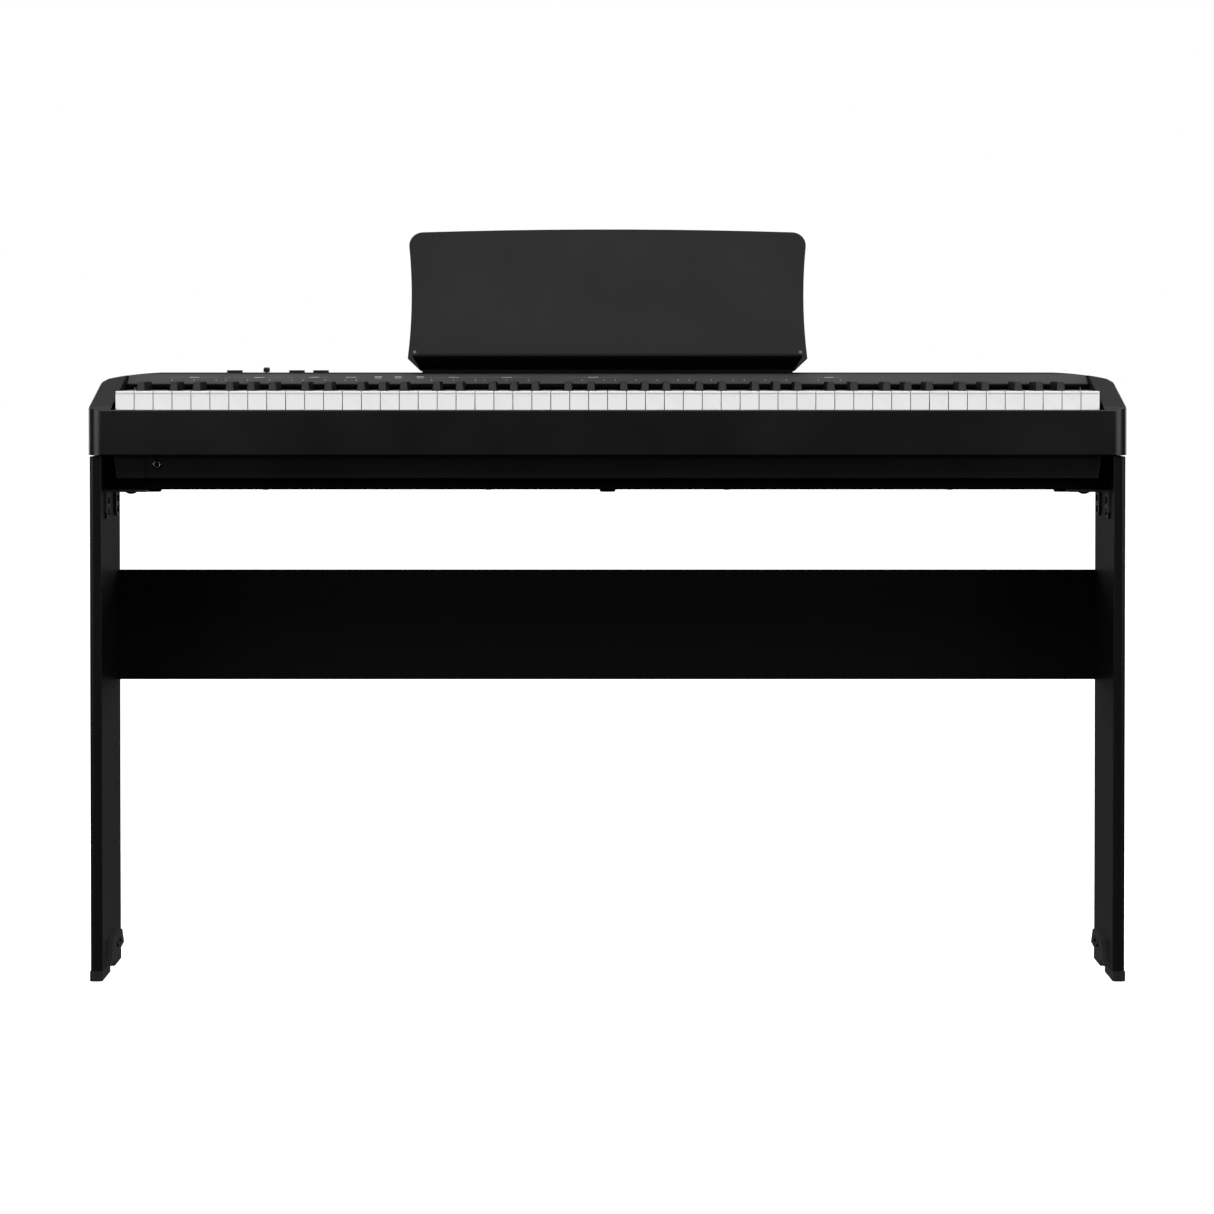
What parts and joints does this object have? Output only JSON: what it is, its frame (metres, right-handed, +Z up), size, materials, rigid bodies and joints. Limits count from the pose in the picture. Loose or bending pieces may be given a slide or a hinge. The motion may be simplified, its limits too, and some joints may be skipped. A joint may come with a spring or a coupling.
{
  "type": "digital piano on stand",
  "caption": "Slim full-size digital piano with a hinged keyboard, a lift-off music rest and panel controls, on a two-legged board stand.",
  "frame": {"origin": "on the floor under the middle of the whole object's bounding box", "axes": "+X along the keyboard towards the treble, +Y from the player towards the back, +Z up"},
  "size_m": [1.288, 0.3078, 0.9394],
  "materials": {
    "case_plastic": "fine-textured moulded plastic, charcoal",
    "tray_plastic": "plain black moulded plastic",
    "stand_board": "particle board in a dark textured film",
    "shoe_plastic": "hard moulded plastic",
    "black_steel": "black powder coat",
    "dark_fastener": "black oxide",
    "rubber": "black rubber",
    "control_plastic": "smooth black plastic",
    "rest_plastic": "fine-textured moulded plastic",
    "stop_plastic": "grey soft plastic",
    "frame_plastic": "glass-filled plastic",
    "rod_steel": "bright drawn rod",
    "hammer_steel": "zinc-plated steel",
    "felt": "dense wool felt",
    "circuit_board": "printed circuit board",
    "speaker_black": "black stamped basket with a coated cone",
    "socket_plastic": "glossy black nylon",
    "socket_metal": "plated shield",
    "white_key": "satin white keytop plastic",
    "black_key": "matt black keytop plastic"
  },
  "bodies": {
    "case_and_stand": {"back_rail": "stand_board", "bottom_tray": "tray_plastic", "case_screws": "dark_fastener", "control_board": "circuit_board", "control_panel": "case_plastic", "dc_inlet": "socket_plastic", "front_rail": "case_plastic", "hammers": "hammer_steel", "headphone_jack": "socket_plastic", "key_felts": "felt", "key_frame": "frame_plastic", "key_sensor_board": "circuit_board", "left_cheek": "case_plastic", "left_leg": "stand_board", "leg_brackets": "black_steel", "leg_shoes": "shoe_plastic", "lower_case": "case_plastic", "main_board": "circuit_board", "pivot_rods": "rod_steel", "rail_bolts": "dark_fastener", "rear_jacks": "socket_plastic", "rear_panel": "tray_plastic", "right_cheek": "case_plastic", "right_leg": "stand_board", "rubber_feet": "rubber", "speakers": "speaker_black", "stabiliser_plates": "black_steel", "stand_screws": "dark_fastener", "thumb_bolts": "dark_fastener", "usb_port": "socket_metal"},
    "black_keys_a0_to_b1": {"black_keys_a0_to_b1": "black_key"},
    "black_keys_c2_to_b2": {"black_keys_c2_to_b2": "black_key"},
    "black_keys_c3_to_b3": {"black_keys_c3_to_b3": "black_key"},
    "black_keys_c5_to_b5": {"black_keys_c5_to_b5": "black_key"},
    "black_keys_c6_to_b6": {"black_keys_c6_to_b6": "black_key"},
    "black_keys_c7_to_c8": {"black_keys_c7_to_c8": "black_key"},
    "function_button_left": {"function_button_left": "control_plastic"},
    "function_button_right": {"function_button_right": "control_plastic"},
    "key_a4": {"key_a4": "white_key"},
    "key_a_sharp_4": {"key_a_sharp_4": "black_key"},
    "key_b4": {"key_b4": "white_key"},
    "key_c4": {"key_c4": "white_key"},
    "key_c_sharp_4": {"key_c_sharp_4": "black_key"},
    "key_d4": {"key_d4": "white_key"},
    "key_d_sharp_4": {"key_d_sharp_4": "black_key"},
    "key_e4": {"key_e4": "white_key"},
    "key_f4": {"key_f4": "white_key"},
    "key_f_sharp_4": {"key_f_sharp_4": "black_key"},
    "key_g4": {"key_g4": "white_key"},
    "key_g_sharp_4": {"key_g_sharp_4": "black_key"},
    "music_rest": {"music_rest": "rest_plastic", "page_stops": "stop_plastic"},
    "power_button": {"power_button": "control_plastic"},
    "volume_slider": {"volume_slider": "control_plastic"},
    "white_keys_a0_to_b1": {"white_keys_a0_to_b1": "white_key"},
    "white_keys_c2_to_b2": {"white_keys_c2_to_b2": "white_key"},
    "white_keys_c3_to_b3": {"white_keys_c3_to_b3": "white_key"},
    "white_keys_c5_to_b5": {"white_keys_c5_to_b5": "white_key"},
    "white_keys_c6_to_b6": {"white_keys_c6_to_b6": "white_key"},
    "white_keys_c7_to_c8": {"white_keys_c7_to_c8": "white_key"}
  },
  "joints": [
    {"name": "white_keys_a0_to_b1_press", "type": "hinge", "parent": "case_and_stand", "child": "white_keys_a0_to_b1", "pos_m": [0, 0.1101, 0.724], "axis": [1, 0, 0], "range_deg": [0, 2.5], "stiffness_Nm_per_rad": 4.5, "springref_deg": -22.92},
    {"name": "black_keys_a0_to_b1_press", "type": "hinge", "parent": "case_and_stand", "child": "black_keys_a0_to_b1", "pos_m": [0, 0.1101, 0.724], "axis": [1, 0, 0], "range_deg": [0, 3], "stiffness_Nm_per_rad": 2.4, "springref_deg": -20.05},
    {"name": "white_keys_c2_to_b2_press", "type": "hinge", "parent": "case_and_stand", "child": "white_keys_c2_to_b2", "pos_m": [0, 0.1101, 0.724], "axis": [1, 0, 0], "range_deg": [0, 2.5], "stiffness_Nm_per_rad": 3.5, "springref_deg": -22.92},
    {"name": "black_keys_c2_to_b2_press", "type": "hinge", "parent": "case_and_stand", "child": "black_keys_c2_to_b2", "pos_m": [0, 0.1101, 0.724], "axis": [1, 0, 0], "range_deg": [0, 3], "stiffness_Nm_per_rad": 2, "springref_deg": -20.05},
    {"name": "white_keys_c3_to_b3_press", "type": "hinge", "parent": "case_and_stand", "child": "white_keys_c3_to_b3", "pos_m": [0, 0.1101, 0.724], "axis": [1, 0, 0], "range_deg": [0, 2.5], "stiffness_Nm_per_rad": 3.5, "springref_deg": -22.92},
    {"name": "black_keys_c3_to_b3_press", "type": "hinge", "parent": "case_and_stand", "child": "black_keys_c3_to_b3", "pos_m": [0, 0.1101, 0.724], "axis": [1, 0, 0], "range_deg": [0, 3], "stiffness_Nm_per_rad": 2, "springref_deg": -20.05},
    {"name": "key_c4_press", "type": "hinge", "parent": "case_and_stand", "child": "key_c4", "pos_m": [0, 0.1101, 0.724], "axis": [1, 0, 0], "range_deg": [0, 2.5], "stiffness_Nm_per_rad": 0.5, "springref_deg": -22.92},
    {"name": "key_d4_press", "type": "hinge", "parent": "case_and_stand", "child": "key_d4", "pos_m": [0, 0.1101, 0.724], "axis": [1, 0, 0], "range_deg": [0, 2.5], "stiffness_Nm_per_rad": 0.5, "springref_deg": -22.92},
    {"name": "key_e4_press", "type": "hinge", "parent": "case_and_stand", "child": "key_e4", "pos_m": [0, 0.1101, 0.724], "axis": [1, 0, 0], "range_deg": [0, 2.5], "stiffness_Nm_per_rad": 0.5, "springref_deg": -22.92},
    {"name": "key_f4_press", "type": "hinge", "parent": "case_and_stand", "child": "key_f4", "pos_m": [0, 0.1101, 0.724], "axis": [1, 0, 0], "range_deg": [0, 2.5], "stiffness_Nm_per_rad": 0.5, "springref_deg": -22.92},
    {"name": "key_g4_press", "type": "hinge", "parent": "case_and_stand", "child": "key_g4", "pos_m": [0, 0.1101, 0.724], "axis": [1, 0, 0], "range_deg": [0, 2.5], "stiffness_Nm_per_rad": 0.5, "springref_deg": -22.92},
    {"name": "key_a4_press", "type": "hinge", "parent": "case_and_stand", "child": "key_a4", "pos_m": [0, 0.1101, 0.724], "axis": [1, 0, 0], "range_deg": [0, 2.5], "stiffness_Nm_per_rad": 0.5, "springref_deg": -22.92},
    {"name": "key_b4_press", "type": "hinge", "parent": "case_and_stand", "child": "key_b4", "pos_m": [0, 0.1101, 0.724], "axis": [1, 0, 0], "range_deg": [0, 2.5], "stiffness_Nm_per_rad": 0.5, "springref_deg": -22.92},
    {"name": "key_c_sharp_4_press", "type": "hinge", "parent": "case_and_stand", "child": "key_c_sharp_4", "pos_m": [0, 0.1101, 0.724], "axis": [1, 0, 0], "range_deg": [0, 3], "stiffness_Nm_per_rad": 0.4, "springref_deg": -20.05},
    {"name": "key_d_sharp_4_press", "type": "hinge", "parent": "case_and_stand", "child": "key_d_sharp_4", "pos_m": [0, 0.1101, 0.724], "axis": [1, 0, 0], "range_deg": [0, 3], "stiffness_Nm_per_rad": 0.4, "springref_deg": -20.05},
    {"name": "key_f_sharp_4_press", "type": "hinge", "parent": "case_and_stand", "child": "key_f_sharp_4", "pos_m": [0, 0.1101, 0.724], "axis": [1, 0, 0], "range_deg": [0, 3], "stiffness_Nm_per_rad": 0.4, "springref_deg": -20.05},
    {"name": "key_g_sharp_4_press", "type": "hinge", "parent": "case_and_stand", "child": "key_g_sharp_4", "pos_m": [0, 0.1101, 0.724], "axis": [1, 0, 0], "range_deg": [0, 3], "stiffness_Nm_per_rad": 0.4, "springref_deg": -20.05},
    {"name": "key_a_sharp_4_press", "type": "hinge", "parent": "case_and_stand", "child": "key_a_sharp_4", "pos_m": [0, 0.1101, 0.724], "axis": [1, 0, 0], "range_deg": [0, 3], "stiffness_Nm_per_rad": 0.4, "springref_deg": -20.05},
    {"name": "white_keys_c5_to_b5_press", "type": "hinge", "parent": "case_and_stand", "child": "white_keys_c5_to_b5", "pos_m": [0, 0.1101, 0.724], "axis": [1, 0, 0], "range_deg": [0, 2.5], "stiffness_Nm_per_rad": 3.5, "springref_deg": -22.92},
    {"name": "black_keys_c5_to_b5_press", "type": "hinge", "parent": "case_and_stand", "child": "black_keys_c5_to_b5", "pos_m": [0, 0.1101, 0.724], "axis": [1, 0, 0], "range_deg": [0, 3], "stiffness_Nm_per_rad": 2, "springref_deg": -20.05},
    {"name": "white_keys_c6_to_b6_press", "type": "hinge", "parent": "case_and_stand", "child": "white_keys_c6_to_b6", "pos_m": [0, 0.1101, 0.724], "axis": [1, 0, 0], "range_deg": [0, 2.5], "stiffness_Nm_per_rad": 3.5, "springref_deg": -22.92},
    {"name": "black_keys_c6_to_b6_press", "type": "hinge", "parent": "case_and_stand", "child": "black_keys_c6_to_b6", "pos_m": [0, 0.1101, 0.724], "axis": [1, 0, 0], "range_deg": [0, 3], "stiffness_Nm_per_rad": 2, "springref_deg": -20.05},
    {"name": "white_keys_c7_to_c8_press", "type": "hinge", "parent": "case_and_stand", "child": "white_keys_c7_to_c8", "pos_m": [0, 0.1101, 0.724], "axis": [1, 0, 0], "range_deg": [0, 2.5], "stiffness_Nm_per_rad": 4, "springref_deg": -22.92},
    {"name": "black_keys_c7_to_c8_press", "type": "hinge", "parent": "case_and_stand", "child": "black_keys_c7_to_c8", "pos_m": [0, 0.1101, 0.724], "axis": [1, 0, 0], "range_deg": [0, 3], "stiffness_Nm_per_rad": 2, "springref_deg": -20.05},
    {"name": "power_button_press", "type": "slide", "parent": "case_and_stand", "child": "power_button", "axis": [0, 0, -1], "range_m": [0, 0.0015], "stiffness_N_per_m": 400, "springref_m": -0.002},
    {"name": "function_button_left_press", "type": "slide", "parent": "case_and_stand", "child": "function_button_left", "axis": [0, 0, -1], "range_m": [0, 0.0015], "stiffness_N_per_m": 400, "springref_m": -0.002},
    {"name": "function_button_right_press", "type": "slide", "parent": "case_and_stand", "child": "function_button_right", "axis": [0, 0, -1], "range_m": [0, 0.0015], "stiffness_N_per_m": 400, "springref_m": -0.002},
    {"name": "volume_slide", "type": "slide", "parent": "case_and_stand", "child": "volume_slider", "axis": [1, 0, 0], "range_m": [-0.018, 0.018]},
    {"name": "music_rest_lift", "type": "slide", "parent": "case_and_stand", "child": "music_rest", "axis": [0, 0.342, 0.9397], "range_m": [0, 0.08]}
  ]
}
